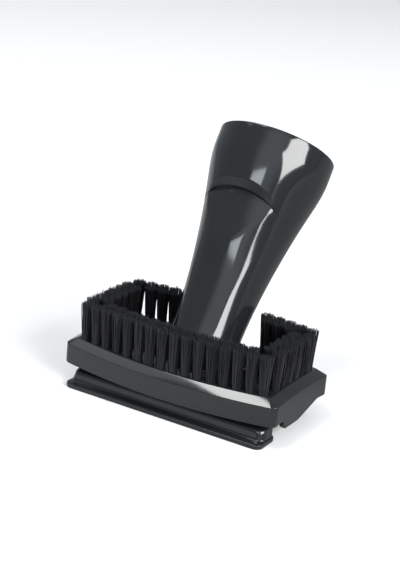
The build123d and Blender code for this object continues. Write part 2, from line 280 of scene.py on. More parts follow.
@dataclass(frozen=True)
class Nozzle:
    """The nozzle moulding: socket, thumb recess, waist, fan, mouth with a lip, and seat flange."""

    place: ObjectFrame
    neck_lean: float = 33.3
    neck_foot: float = -4.0
    neck_length: float = 87.5
    stations: tuple = (6.0, 20.5, 37.0, 53.3, 75.5)
    radii: tuple = (20.8, 18.5, 15.35, 13.1, 11.9)
    rim_round: float = 0.5
    bore_radius: float = 17.5
    bore_depth: float = 16.0
    bore_lead_in: float = 0.8
    duct_stations: tuple = (16.0, 37.0, 75.5)
    duct_radii: tuple = (15.3, 13.2, 9.9)
    skin: float = 1.7
    arch_station: float = 19.0
    arch_drop: float = 6.8
    arch_power: float = 2.2
    arch_reach: float = 57.0
    arch_band: float = 3.0
    groove_depth: float = 0.35
    groove_width: float = 1.3
    arch_share: float = 0.4
    arch_edge: float = 0.22
    arch_step: float = 0.4
    arch_limit: float = 27.0
    panel_stations: tuple = (18.0, 24.0, 30.0, 39.0, 48.0, 55.0, 60.0, 70.0, 75.5)
    panel_half_widths: tuple = (15.6, 15.2, 14.2, 12.6, 10.2, 8.5, 7.8, 7.7, 7.7)
    panel_depths: tuple = (0.0, 0.0, 0.05, 0.3, 0.6, 0.7, 0.65, 0.45, 0.0)
    panel_blend: float = 0.05
    scoop_stations: tuple = (18.0, 24.0, 31.0, 35.0, 37.5, 39.5)
    scoop_half_widths: tuple = (14.6, 12.9, 10.2, 7.8, 5.7, 3.0)
    scoop_depths: tuple = (3.0, 2.6, 1.7, 1.15, 0.75, 0.2)
    scoop_blend: float = 0.08
    mouth_half_length: float = 37.6
    mouth_front: float = -19.0
    mouth_back: float = -10.7
    mouth_corner: float = 2.4
    lip_front: float = -22.0
    lip_top: float = -5.9
    lip_root: float = -5.0
    trough_level: float = -5.6
    trough_flare: float = 0.2
    lip_half_length: float = 38.2
    trough_round: float = 0.6
    lip_round: float = 0.35
    sole_round: float = 0.25
    slot_corner: float = 1.2
    flange_half_length: float = 37.5
    flange_front: float = -14.6
    flange_back: float = 12.6
    flange_thickness: float = 1.9
    flange_top: float = 2.6
    flange_corner: float = 5.0
    flange_round: float = 0.3
    fan_sections: tuple[Section, ...] = (
        Section(-2.8, 4.2, 24.0, 18.5, 7.2, 6.4),
        Section(-8.6, -1.4, 10.0, 32.0, 4.6, 3.9),
        Section(-13.4, -2.2, 0.0, 36.9, 4.7, 3.0),
    )
    duct_corner_share: float = 0.9
    plain_end: float = 9.0
    scoop_foot: float = 46.0
    scoop_crowding: float = 1.3
    clear_of_neck: float = 0.5
    blend_reach: float = 1.0
    crease: float = 0.1
    columns: int = 360
    rim_rows: int = 6
    plain_rows: int = 7
    arch_rows: int = 12
    band_rows: int = 7
    step_shares: tuple = (0.15, 0.5, 0.85, 1.0)
    scoop_rows: int = 26
    lower_rows: int = 22
    fan_rows: int = 44
    duct_rows: int = 16

    def neck_point(self, station: Values) -> tuple[Values, Values]:
        """Y and Z of the neck axis at stations measured down from the rim."""
        along, lean = self.neck_length - station, math.radians(self.neck_lean)
        return self.neck_foot + along * math.sin(lean), along * math.cos(lean)

    def loop(self, half_width: float, half_depth: float, corner: float) -> np.ndarray:
        """Rounded rectangle from its front middle round to the same point.

        Args:
            half_width: Half of the size along X.
            half_depth: Half of the size across.
            corner: Corner radius.

        Returns:
            Closed loop of X and depth, evenly spaced in each quarter.
        """
        per = self.columns // 4
        run, side = half_width - corner, half_depth - corner
        turn = corner * math.pi / 2
        at = np.linspace(0, run + turn + side, per + 1)
        angle = np.clip((at - run) / corner, 0, math.pi / 2)
        x = np.where(at < run, at, run + corner * np.sin(angle))
        straight = side - (at - run - turn)
        y = -np.where(at > run + turn, straight, side + corner * np.cos(angle))
        return whole_loop(np.stack([x, y], 1))

    def section_points(self, section: Section) -> np.ndarray:
        """Places of one section's loop in the frame's coordinates."""
        flat = self.loop(section.half_width, section.half_depth, section.corner)
        return tilted_loop(flat.T, section.y, section.z, section.tilt)

    def fan(self) -> list[Section]:
        """Fan sections from the waist to the mouth.

        Returns:
            The sections, in order.
        """
        y, z = self.neck_point(self.stations[-1])
        waist = self.radii[-1]
        mouth_y = (self.mouth_front + self.mouth_back) / 2
        mouth_depth = (self.mouth_back - self.mouth_front) / 2
        return [
            Section(y, z, self.neck_lean, waist, waist, waist),
            *self.fan_sections,
            Section(
                mouth_y, self.lip_root, 0.0, self.mouth_half_length, mouth_depth, self.mouth_corner
            ),
        ]

    def duct(self) -> list[Section]:
        """Air way sections inside the fan.

        Returns:
            The sections, in the order of the fan's.
        """
        outer = self.fan()
        radius = self.duct_radii[-1]
        inner = [Section(outer[0].y, outer[0].z, outer[0].tilt, radius, radius, radius)]
        for section in outer[1:]:
            depth = section.half_depth - self.skin
            corner = min(section.corner, depth * self.duct_corner_share)
            width = section.half_width - self.skin
            inner.append(Section(section.y, section.z, section.tilt, width, depth, corner))
        return inner

    def blended(self, sections: list[Section], count: int) -> list[np.ndarray]:
        """Loops at even steps through a run of sections.

        Args:
            sections: The sections, in order.
            count: How many loops to make.

        Returns:
            The loops, the first and last being the end sections.
        """
        centres = np.array([[s.y, s.z] for s in sections])
        gaps = np.linalg.norm(np.diff(centres, axis=0), axis=1)
        run = np.concatenate([[0], np.cumsum(gaps)])
        at = np.linspace(0, run[-1], count)
        sizes = [astuple(section) for section in sections]
        tracks = [hermite_curve(run, values, at) for values in zip(*sizes)]
        return [self.section_points(Section(*values)) for values in zip(*tracks)]

    def neck_loop(self, station: Values, radius: Values, angle: np.ndarray) -> np.ndarray:
        """Places round the neck at a station and radius for each angle from the front."""
        flat = radius * np.sin(angle), -radius * np.cos(angle)
        return tilted_loop(flat, *self.neck_point(station), self.neck_lean)

    def neck_radius(self, station: Values) -> Values:
        """Outer radius of the plain neck."""
        return even_curve(self.stations, self.radii, station)

    def flattened_radius(self, tracks: tuple, station: Values, angle: np.ndarray) -> np.ndarray:
        """Distance from the neck axis of a flatter face on the front of the neck.

        Args:
            tracks: Stations down the face, with its half widths and its depths there.
            station: Places down the neck.
            angle: Angles from the front.

        Returns:
            The distance at each place, on a wide arc between the two edges of the face.
        """
        neck = self.neck_radius(station)
        stations, widths, depths = tracks
        width = hermite_curve(stations, widths, station)
        depth = hermite_curve(stations, depths, station)
        sag = neck - depth - np.sqrt(neck**2 - width**2)
        reach = (width**2 + sag**2) / (2 * sag)
        shift = reach + depth - neck
        chord = np.maximum(reach**2 - (shift * np.sin(angle)) ** 2, 0)
        faced = np.sqrt(chord) - shift * np.cos(angle)
        return np.where(np.cos(angle) > 0, faced, neck + self.clear_of_neck)

    def deeper(self, one: Values, other: np.ndarray, blend: float) -> np.ndarray:
        """The smaller of two radii, with a soft change between them."""
        gap = one - other
        return one - (gap + np.sqrt(gap**2 + 4 * blend**2 * (gap > -self.blend_reach))) / 2

    def floor_radius(self, station: Values, angle: np.ndarray) -> np.ndarray:
        """Neck with the panel down its front and the thumb recess in it.

        Args:
            station: Places down the neck.
            angle: Angles from the front.

        Returns:
            The outer radius at each place.
        """
        panel = (self.panel_stations, self.panel_half_widths, self.panel_depths)
        scoop = (self.scoop_stations, self.scoop_half_widths, self.scoop_depths)
        radius = self.neck_radius(station)
        for face, blend in ((panel, self.panel_blend), (scoop, self.scoop_blend)):
            radius = self.deeper(radius, self.flattened_radius(face, station, angle), blend)
        return radius

    def neck_rows(self) -> list[np.ndarray]:
        """Outer loops of the neck, which follow the arch of the thumb recess.

        Returns:
            The loops, from the rim to the waist.
        """
        angle = np.linspace(0, 2 * math.pi, self.columns + 1)
        from_front = np.abs(np.arctan2(np.sin(angle), np.cos(angle)))
        swing = from_front / math.radians(self.arch_reach)
        front = np.clip(1 - swing**2, 0, 1)
        arch = self.arch_station + self.arch_drop * swing**self.arch_power
        arch = self.arch_limit - np.log1p(np.exp(self.arch_limit - arch))
        band, step = self.arch_band * np.sqrt(front), self.arch_step * np.sqrt(front)
        foot, start = arch + band, self.neck_radius(arch)
        groove = self.groove_depth * front
        deep = self.floor_radius(foot + step, angle) - groove
        ledge = start - (start - deep) * self.arch_share * (front > 0)
        rings = []
        for t in np.linspace(math.pi / 2, 0, self.rim_rows):
            edge = self.radii[0] - self.rim_round * (1 - math.cos(t))
            rings.append((self.rim_round * (1 - math.sin(t)), edge))
        for station in np.linspace(self.rim_round, self.plain_end, self.plain_rows)[1:]:
            rings.append((station, self.neck_radius(station)))
        for t in np.linspace(0, 1, self.arch_rows)[1:]:
            station = self.plain_end + (arch - self.arch_edge - self.plain_end) * t
            rings.append((station, self.neck_radius(station)))
        for t in np.linspace(0, 1, self.band_rows):
            station = arch + band * t
            plain = self.neck_radius(station)
            sloped = np.minimum(plain, start + (ledge - start) * t)
            rings.append((station, np.where(front > 0, sloped, plain)))
        for t in self.step_shares:
            station = foot + step * t
            cliff = ledge + (deep - ledge) * eased(t)
            rings.append((station, np.where(front > 0, cliff, self.floor_radius(station, angle))))
        for t in np.linspace(0, 1, self.scoop_rows)[1:]:
            beyond = (self.scoop_foot - foot - step) * t**self.scoop_crowding
            station = foot + step + beyond
            cut = groove * np.exp(-((beyond / self.groove_width) ** 2))
            rings.append((station, self.floor_radius(station, angle) - cut))
        for station in np.linspace(self.scoop_foot, self.stations[-1], self.lower_rows)[1:]:
            rings.append((station, self.floor_radius(station, angle)))
        return [self.neck_loop(station, radius, angle) for station, radius in rings]

    def mouth_rows(self) -> list[np.ndarray]:
        """Loops from the fan's foot round the lip and the sole to the slot.

        Returns:
            The loops, in order.
        """
        profile = rounded_path(
            [
                (self.mouth_front, self.lip_root),
                (self.mouth_front - self.trough_flare, self.trough_level),
                (self.lip_front, self.lip_top),
                (self.lip_front, -self.place.sole_drop),
                (self.mouth_front + self.skin, -self.place.sole_drop),
                (self.mouth_front + self.skin, self.lip_root),
            ],
            [self.trough_round, self.lip_round, self.sole_round, self.sole_round],
        )
        rows = []
        outside = self.mouth_front - self.lip_front
        flare = self.lip_half_length - self.mouth_half_length
        for front, level in profile[1:]:
            share = np.clip((self.mouth_front - front) / outside, 0, 1)
            inner = np.clip((front - self.lip_front) / (outside + self.skin), 0, 1)
            on_sole = level <= -self.place.sole_drop + self.sole_round
            inset = self.skin * inner if on_sole or front > self.mouth_front + self.crease else 0.0
            back = self.mouth_back - inset
            width = self.mouth_half_length + flare * share - inset
            corner = self.mouth_corner + (self.slot_corner - self.mouth_corner) * inset / self.skin
            depth = (back - front) / 2
            section = Section((front + back) / 2, level, 0.0, width, depth, corner)
            rows.append(self.section_points(section))
        return rows

    def bore_rows(self) -> list[np.ndarray]:
        """Loops up the inside of the neck, from the waist to the rim.

        Returns:
            The loops, in order.
        """
        angle = np.linspace(0, 2 * math.pi, self.columns + 1)
        duct = np.linspace(self.duct_stations[-1], self.bore_depth, self.duct_rows)[1:]
        rings = [(at, hermite_curve(self.duct_stations, self.duct_radii, at)) for at in duct]
        mouth_radius = self.bore_radius + self.bore_lead_in
        rings += [
            (self.bore_depth, self.bore_radius),
            (self.bore_depth - 2 * self.crease, self.bore_radius),
            (self.bore_lead_in + 2 * self.crease, self.bore_radius),
            (self.bore_lead_in, self.bore_radius),
            (self.crease, mouth_radius - self.crease),
            (0.0, mouth_radius),
            (0.0, self.radii[0] - self.rim_round),
        ]
        return [self.neck_loop(station, radius, angle) for station, radius in rings]

    def flange(self, fan_outer: np.ndarray, fan_inner: np.ndarray) -> bpy.types.Object:
        """Seat flange, whose inner edge ends inside the wall of the fan.

        Args:
            fan_outer: Outer loops of the fan.
            fan_inner: Loops of the air way, in the same order.

        Returns:
            The flange as a closed ring.
        """
        middle = (fan_outer + fan_inner) / 2
        low, high = self.flange_top - self.flange_thickness, self.flange_top

        def slice_at(level: float) -> np.ndarray:
            """Loop inside the wall of the fan at one level."""
            lines = [middle[::-1, column].T for column in range(middle.shape[1])]
            return np.array([[np.interp(level, line[2], axis) for axis in line] for line in lines])

        centre = (self.flange_front + self.flange_back) / 2
        depth = (self.flange_back - self.flange_front) / 2
        edge = [(self.flange_round, 0), (self.crease, self.crease), (0, self.flange_round)]
        rim = [(inset, low + rise) for inset, rise in edge]
        rim += [(inset, high - rise) for inset, rise in edge[::-1]]
        rows = [slice_at(low)]
        for inset, level in rim:
            width, corner = self.flange_half_length - inset, self.flange_corner - inset
            section = Section(centre, level, 0.0, width, depth - inset, corner)
            rows.append(self.section_points(section))
        rows.append(slice_at(high))
        rows.append(rows[0])
        return wrapped_grid("seat_flange", np.array(rows) + self.place.origin())

    def build(self) -> bpy.types.Object:
        """Makes the nozzle and puts it in place of its CAD solid.

        Returns:
            The nozzle.
        """
        outer = self.blended(self.fan(), self.fan_rows)
        inner = self.blended(self.duct(), self.fan_rows)
        rows = self.neck_rows() + outer[1:] + self.mouth_rows() + inner[::-1][1:] + self.bore_rows()
        skin = wrapped_grid("nozzle_skin", np.array(rows) + self.place.origin())
        piece = joined("nozzle", [skin, self.flange(np.array(outer), np.array(inner))])
        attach(piece, "root")
        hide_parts("nozzle_body")
        return piece


@dataclass(frozen=True)
class BrushFrame:
    """The clipped-on frame: bulged walls, sloped shoulder, crowned top, saddle and end tabs."""

    place: ObjectFrame
    half_length: float = 41.0
    half_depth: float = 18.6
    side_bulge: float = 4.2
    corner_radius: float = 2.4
    wall_height: float = 6.9
    shoulder_rise: float = 1.9
    side_shoulder: float = 2.4
    end_shoulder: float = 3.4
    shoulder_corner: float = 0.9
    crown: float = 1.0
    wall_thickness: float = 2.0
    rail_width: float = 10.2
    plate_underside: float = 2.6
    cavity_corner: float = 1.0
    opening_corner: float = 3.0
    relief_half_width: float = 13.6
    relief_back: float = 14.2
    saddle_floor: float = 7.5
    saddle_shoulder: float = 6.0
    saddle_depth: float = 4.1
    tab_front: float = -12.3
    tab_back: float = 11.6
    tab_drop: float = 2.7
    tab_front_lean: float = 1.8
    tab_flat: float = 9.0
    tab_front_round: float = 0.96
    tab_back_round: float = 3.2
    foot_round: float = 0.4
    wall_edge_round: float = 0.3
    shoulder_edge_round: float = 0.6
    opening_round: float = 0.5
    hook_front: float = -4.0
    hook_length: float = 10.0
    hook_reach: float = 2.2
    hook_height: float = 1.0
    hook_top: float = 0.5
    hook_tip: float = 0.2
    hook_crease: float = 0.3
    relief_margin: float = 1.2
    relief_fade: float = 0.8
    saddle_follow: float = 0.2
    opening_edge: float = 0.15
    end_play: float = 0.05
    edge_reach: float = 1.0
    edge_steps: int = 5
    side_columns: int = 40
    corner_columns: int = 16
    end_columns: int = 40

    def outline(self, follows: Row, inset: float) -> np.ndarray:
        """Loop of the frame's plan, moved inwards, with its corners matched to the outer ones.

        Args:
            follows: Which surface the loop lies on.
            inset: How far inside the outer side wall it runs.

        Returns:
            Closed loop of X and Y from the front middle.
        """
        end_inset, radius = inset, float(np.interp(inset, *self.wall_corners()))
        if follows is Row.TOP:
            sides, ends, radii = self.top_track()
            end_inset, radius = [float(np.interp(inset, sides, track)) for track in (ends, radii)]
        reach_x, reach_y = self.half_length - end_inset, self.half_depth - inset
        big = (reach_x**2 + self.side_bulge**2) / (2 * self.side_bulge)
        centre = -reach_y - self.side_bulge + big
        corner_x = reach_x - radius
        corner_y = centre - math.sqrt((big - radius) ** 2 - corner_x**2)
        swing = math.atan2(corner_x, centre - corner_y)
        side = np.linspace(0, swing, self.side_columns + 1)
        turn = np.linspace(swing, math.pi / 2, self.corner_columns + 1)[1:]
        end = np.linspace(corner_y, 0, self.end_columns + 1)[1:]
        front = np.stack([big * np.sin(side), centre - big * np.cos(side)], 1)
        corner = np.stack([corner_x + radius * np.sin(turn), corner_y - radius * np.cos(turn)], 1)
        wall = np.stack([np.full_like(end, reach_x), end], 1)
        return whole_loop(np.concatenate([front, corner, wall]))

    def wall_corners(self) -> tuple[list[float], list[float]]:
        """Insets below the top and the corner radii that go with them."""
        insets = [0.0, self.wall_thickness, self.rail_width]
        return insets, [self.corner_radius, self.cavity_corner, self.opening_corner]

    def top_track(self) -> tuple[list[float], list[float], list[float]]:
        """How the loops run over the top.

        Returns:
            Insets along the sides, those at the ends, and the corner radii.
        """
        sides = [0.0, self.side_shoulder, self.rail_width]
        ends = [0.0, self.end_shoulder, self.rail_width]
        return sides, ends, [self.corner_radius, self.shoulder_corner, self.opening_corner]

    def crown_at(self, y: Values) -> Values:
        """Rise of the crowned surfaces across the frame."""
        return self.crown * (1 - (y / self.half_depth) ** 2)

    def foot_at(self, points: np.ndarray) -> np.ndarray:
        """Level of the walls' lower edge, with the tab under each end.

        Args:
            points: Plan places of one row.

        Returns:
            The level at each place.
        """
        level = self.crown_at(points[:, 1])
        low = self.tab_front + self.tab_front_lean
        tab = rounded_path(
            [
                (self.tab_front, self.crown_at(self.tab_front)),
                (low, -self.tab_drop),
                (low + self.tab_flat, -self.tab_drop),
                (self.tab_back, self.crown_at(self.tab_back)),
            ],
            [self.tab_front_round, self.tab_back_round],
        )
        tab_level = np.interp(points[:, 1], tab[:, 0], tab[:, 1])
        on_end = np.abs(points[:, 0]) > self.half_length - self.wall_thickness - self.end_play
        on_tab = on_end & (points[:, 1] > self.tab_front) & (points[:, 1] < self.tab_back)
        return np.where(on_tab, tab_level, level)

    def saddle_at(self, x: np.ndarray) -> np.ndarray:
        """Level of the saddle that clears the neck in the back rail.

        Args:
            x: Places along the rail.

        Returns:
            The level at each place.
        """
        top = self.wall_height + self.shoulder_rise + self.crown
        floor = self.wall_height + self.shoulder_rise - self.saddle_depth
        t = np.clip((np.abs(x) - self.saddle_floor) / self.saddle_shoulder, 0, 1)
        return floor + (top - floor) * eased(t)

    def profile(self) -> list[tuple[Row, float, float]]:
        """Rows round the section of the frame's wall.

        Returns:
            For each row, what it follows, its inset and its height over that.
        """
        thick, foot, reach = self.wall_thickness, self.foot_round, self.edge_reach
        lower = rounded_path(
            [(thick, reach), (thick, 0.0), (0.0, 0.0), (0.0, reach)],
            [foot / 2, foot],
            self.edge_steps,
        )
        upper = rounded_path(
            [
                (0.0, -self.shoulder_rise - reach),
                (0.0, -self.shoulder_rise),
                (self.side_shoulder, 0.0),
                (self.rail_width, 0.0),
                (self.rail_width, -reach),
            ],
            [self.wall_edge_round, self.shoulder_edge_round, self.opening_round],
            self.edge_steps,
        )
        rows = [(Row.BOTTOM, float(i), float(h)) for i, h in lower]
        rows += [(Row.TOP, float(i), float(h)) for i, h in upper]
        rows += [(Row.LEVEL, self.rail_width, self.plate_underside + self.opening_edge)]
        rows += [(Row.LEVEL, self.rail_width - self.opening_edge, self.plate_underside)]
        rows += [(Row.LEVEL, thick, self.plate_underside)]
        rows.append(rows[0])
        return rows

    def row_points(self, follows: Row, inset: float, height: float) -> np.ndarray:
        """Places of one profile row round the frame.

        Args:
            follows: Which surface the row lies on.
            inset: How far inside the outer side wall it runs.
            height: Height over that surface.

        Returns:
            X, Y and Z round the frame, one place in each row.
        """
        plan = self.outline(follows, inset)
        x, y = plan[:, 0], plan[:, 1].copy()
        if inset > self.rail_width - self.relief_margin:
            window = np.clip((self.relief_half_width - np.abs(x)) / self.relief_fade, 0, 1)
            relief = self.relief_back + self.rail_width - inset
            y = np.where(plan[:, 1] > 0, np.maximum(y, y + (relief - y) * window), y)
        if follows is Row.BOTTOM:
            z = self.foot_at(plan) + height
        elif follows is Row.TOP:
            z = self.wall_height + self.shoulder_rise + self.crown_at(y) + height
            saddle = self.saddle_at(x) + min(height, 0) * self.saddle_follow
            z = np.where(y > 0, np.minimum(z, saddle), z)
        else:
            z = np.full_like(y, height)
        return np.stack([x, y, z], 1)

    def hook(self, side: Side) -> bpy.types.Object:
        """Snap hook inside an end wall, wedge-shaped so that it slides over the seat flange.

        Args:
            side: Which end it is on.

        Returns:
            The hook, closed.
        """
        inner = self.half_length - self.wall_thickness
        profile = [
            (inner + self.wall_thickness / 2, self.hook_top),
            (inner - self.hook_reach, self.hook_top),
            (inner - self.hook_reach, self.hook_top - self.hook_tip),
            (inner, self.hook_top - self.hook_height),
            (inner + self.wall_thickness / 2, self.hook_top - self.hook_height),
        ]
        ys = [self.hook_front + step for step in (0, self.hook_crease, self.hook_length)]
        rows = [[(side.value * x, y, z) for y in ys] for x, z in profile + profile[:1]]
        piece = wrapped_grid(f"hook_{side.name.lower()}", np.array(rows) + self.place.origin())
        bpy.ops.object.mode_set(mode="EDIT")
        bpy.ops.mesh.select_all(action="DESELECT")
        bpy.ops.mesh.select_non_manifold()
        bpy.ops.mesh.fill_holes(sides=0)
        face_outwards()
        return piece

    def build(self) -> bpy.types.Object:
        """Makes the frame and puts it in place of its CAD solid.

        Returns:
            The frame.
        """
        rows = np.array([self.row_points(*row) for row in self.profile()])
        wall = wrapped_grid("frame_wall", rows + self.place.origin())
        piece = joined("clip_on_frame", [wall, self.hook(Side.LOW), self.hook(Side.HIGH)])
        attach(piece, "root")
        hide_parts("brush_frame")
        return piece


@dataclass(frozen=True)
class Tuft:
    """Place of one tuft and the inward lean of its tip."""

    x: float
    y: float
    lean_x: float
    lean_y: float


@dataclass(frozen=True)
class Bristles:
    """The tufts: bundles of bristles that spread from their holes, in two staggered rows."""

    place: ObjectFrame
    body: BrushFrame
    tuft_margin: float = 1.7
    row_spacing: float = 2.7
    inner_lean: float = 1.6
    front_tufts: int = 16
    row_end: float = 6.5
    gap_tufts: int = 6
    inner_fewer: int = 2
    end_tufts: int = 6
    end_margin: float = 8.1
    hole_floor: float = 4.8
    bundle_radius: float = 1.08
    back_bundle_radius: float = 1.25
    # Painted shade: the inner rows' bristle tone is scaled down by this factor, darker as if shaded
    # by the outer rows.
    inner_painted_shade: float = 0.35
    tip_radius: float = 2.3
    tip_level: float = 22.3
    bristle_radius: float = 0.14
    bristles: int = 84
    sides: int = 5
    levels: int = 5
    tip_ragged: float = 0.14
    tip_stray: float = 0.1
    bow: float = 0.12
    tip_mean: float = -0.1
    tip_lowest: float = -0.7
    tip_highest: float = 0.35
    taper: float = 0.25
    taper_power: int = 4
    foot_rise: float = 1.9
    seed: int = 7

    def long_row(self, xs: np.ndarray, margin: float, side: Side, lean: float) -> list[Tuft]:
        """Tufts along a long side.

        Args:
            xs: Their places along the side.
            margin: How far inside the shoulder they stand.
            side: Front or back.
            lean: How far their tips lean inwards.

        Returns:
            The tufts, in order.
        """
        tufts = []
        for x in xs:
            bulge = self.body.side_bulge * (1 - (x / self.body.half_length) ** 2)
            y = side.value * (self.body.half_depth + bulge - self.body.side_shoulder - margin)
            tufts.append(Tuft(float(x), y, 0.0, -side.value * lean))
        return tufts

    def end_row(self, ys: np.ndarray, margin: float, side: Side, lean: float) -> list[Tuft]:
        """Tufts along an end."""
        x = side.value * (self.body.half_length - self.body.end_shoulder - margin)
        return [Tuft(x, float(y), -side.value * lean, 0.0) for y in ys]

    def rows(self) -> dict[str, list[Tuft]]:
        """Lays out the rows of tufts.

        Returns:
            The tufts of each row, by the name of the CAD node that it stands for.
        """
        reach = self.body.half_length - self.row_end
        outer = np.linspace(-reach, reach, self.front_tufts)
        pitch = outer[1] - outer[0]
        inner = outer[1:-2] + pitch / 2
        side = (self.front_tufts - self.gap_tufts) // 2
        short = side - self.inner_fewer
        end_reach = self.body.half_depth - self.end_margin
        ends = np.linspace(-end_reach, end_reach, self.end_tufts)
        between = (ends[1:] + ends[:-1]) / 2
        groups = {
            "front": (self.long_row, Side.LOW, outer, inner),
            "right": (self.end_row, Side.HIGH, ends, between),
            "left": (self.end_row, Side.LOW, ends, between),
            "back_right": (self.long_row, Side.HIGH, outer[-side:], inner[-short:]),
            "back_left": (self.long_row, Side.HIGH, outer[:side], inner[:short]),
        }
        rows, near = {}, self.tuft_margin + self.row_spacing
        for name, (row, half, outside, inside) in groups.items():
            rows[f"tufts_{name}_outer"] = row(outside, self.tuft_margin, half, 0)
            rows[f"tufts_{name}_inner"] = row(inside, near, half, self.inner_lean)
        return rows

    def model_bristle(self) -> tuple[np.ndarray, list[tuple[int, ...]]]:
        """One bristle of unit length, extruded ring by ring from a circle and closed at its tip.

        Returns:
            Its points and its faces.
        """
        deselect_all()
        bpy.ops.mesh.primitive_circle_add(vertices=self.sides, radius=1.0)
        bristle = bpy.context.object
        bpy.ops.object.mode_set(mode="EDIT")
        bpy.ops.mesh.select_all(action="SELECT")
        rise = {"value": (0, 0, 1 / self.levels)}
        for _ in range(self.levels):
            bpy.ops.mesh.extrude_edges_move(TRANSFORM_OT_translate=rise)
        bpy.ops.mesh.edge_face_add()
        face_outwards()
        points = np.array([v.co for v in bristle.data.vertices])
        faces = [tuple(p.vertices) for p in bristle.data.polygons]
        bpy.data.objects.remove(bristle)
        return points, faces

    def bundle(
        self, tuft: Tuft, girth: float, unit: np.ndarray, luck: random.Random
    ) -> tuple[np.ndarray, np.ndarray]:
        """Points of one tuft, bristle after bristle.

        Args:
            tuft: Where it stands and how its tip leans.
            girth: Radius of the bundle at its foot.
            unit: Points of the unit bristle.
            luck: Seeded source of small differences.

        Returns:
            The points in the frame's coordinates, and a shade and a height for each.
        """
        golden = math.pi * (3 - math.sqrt(5))
        turn = luck.uniform(0, 2 * math.pi)
        base = np.array([tuft.x, tuft.y])
        end = base + np.array([tuft.lean_x, tuft.lean_y])
        low, height = self.hole_floor + self.foot_rise, unit[:, 2]
        thin = self.bristle_radius * (1 - self.taper * height**self.taper_power)
        across = unit[:, :2] * thin[:, None]
        points, shades = [], []
        for i in range(self.bristles):
            share = math.sqrt((i + 0.5) / self.bristles)
            angle = i * golden + turn
            way = np.array([math.cos(angle), math.sin(angle)]) * share
            foot = base + way * girth
            stray = np.array([luck.gauss(0, self.tip_stray), luck.gauss(0, self.tip_stray)])
            tip = end + way * self.tip_radius + stray
            ragged = luck.gauss(self.tip_mean, self.tip_ragged)
            top = self.tip_level + max(self.tip_lowest, min(self.tip_highest, ragged))
            bow = np.array([luck.gauss(0, self.bow), luck.gauss(0, self.bow)])
            line = foot + np.outer(height, tip - foot) + np.outer(np.sin(height * math.pi), bow)
            points.append(np.column_stack([line + across, low + (top - low) * height]))
            shades.append(np.column_stack([np.full_like(height, luck.random()), height]))
        return np.concatenate(points), np.concatenate(shades)

    def build(self) -> list[bpy.types.Object]:
        """Makes one piece for each row and puts it in place of its CAD solids.

        Returns:
            The pieces.
        """
        unit, faces = self.model_bristle()
        luck = random.Random(self.seed)
        pieces = []
        for name, tufts in self.rows().items():
            girth = self.back_bundle_radius if "back" in name else self.bundle_radius
            made = [self.bundle(tuft, girth, unit, luck) for tuft in tufts]
            points = np.concatenate([p for p, s in made]) + self.place.origin()
            shades = np.concatenate([s for p, s in made])
            # Painted shade: the inner rows' bristle tone is darkened, standing in for the shade
            # between the tufts.
            shades[:, 0] *= self.inner_painted_shade if "inner" in name else 1.0
            count = len(tufts) * self.bristles
            all_faces = [tuple(v + i * len(unit) for v in f) for i in range(count) for f in faces]
            mesh = bpy.data.meshes.new(f"bristles_{name}")
            mesh.from_pydata((points * MM).tolist(), [], all_faces)
            for label, column in (("bristle_tone_and_painted_shade", 0), ("bristle_height", 1)):
                layer = mesh.attributes.new(label, "FLOAT", "POINT")
                layer.data.foreach_set("value", shades[:, column].astype(np.float32))
            piece = bpy.data.objects.new(f"bristles_{name}", mesh)
            bpy.context.scene.collection.objects.link(piece)
            piece = joined(f"bristles_{name}", [piece])
            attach(piece, "root")
            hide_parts(name)
            pieces.append(piece)
        return pieces


def wire(*links: tuple) -> None:
    """Joins nodes.

    Args:
        links: For each link, a node, its output, the next node and its input.
    """
    for source, output, target, entry in links:
        source.id_data.links.new(source.outputs[output], target.inputs[entry])


def set_inputs(node: bpy.types.Node, values: dict) -> bpy.types.Node:
    """Sets a node's own values.

    Args:
        node: The node.
        values: Values by the name or number of the input.

    Returns:
        The same node.
    """
    for entry, value in values.items():
        node.inputs[entry].default_value = value
    return node


def colour_mix(nodes: bpy.types.Nodes, dark: Triple, light: Triple) -> bpy.types.Node:
    """Adds a node that goes from one colour to another.

    Args:
        nodes: Nodes of the material.
        dark: Colour at 0.
        light: Colour at 1.

    Returns:
        The new node.
    """
    mix = nodes.new("ShaderNodeMix")
    mix.data_type = "RGBA"
    return set_inputs(mix, {"A": (*dark, 1), "B": (*light, 1)})


def along_way(nodes: bpy.types.Nodes, way: Triple) -> bpy.types.Node:
    """Adds a node that measures how far a place lies along a direction.

    Args:
        nodes: Nodes of the material or the world.
        way: The direction.

    Returns:
        The new node, whose first input takes the place.
    """
    measure = nodes.new("ShaderNodeVectorMath")
    measure.operation = "DOT_PRODUCT"
    return set_inputs(measure, {1: way})


def show_or_mirror(seen: bpy.types.Node, mirrored: bpy.types.Node, out: bpy.types.Node) -> None:
    """Shows one shader of the stage to the camera and another to the object.

    Args:
        seen: Shader for the camera.
        mirrored: Shader for the object.
        out: Output node of the same tree.
    """
    path = out.id_data.nodes.new("ShaderNodeLightPath")
    mix = out.id_data.nodes.new("ShaderNodeMixShader")
    wire(
        (path, "Is Camera Ray", mix, "Fac"),
        (mirrored, 0, mix, 1),
        (seen, 0, mix, 2),
        (mix, "Shader", out, "Surface"),
    )


def new_material(name: str) -> tuple[bpy.types.Material, bpy.types.Nodes]:
    """Adds a node material.

    Args:
        name: Name of the material.

    Returns:
        The material and its nodes.
    """
    made = bpy.data.materials.new(name)
    made.use_nodes = True
    return made, made.node_tree.nodes


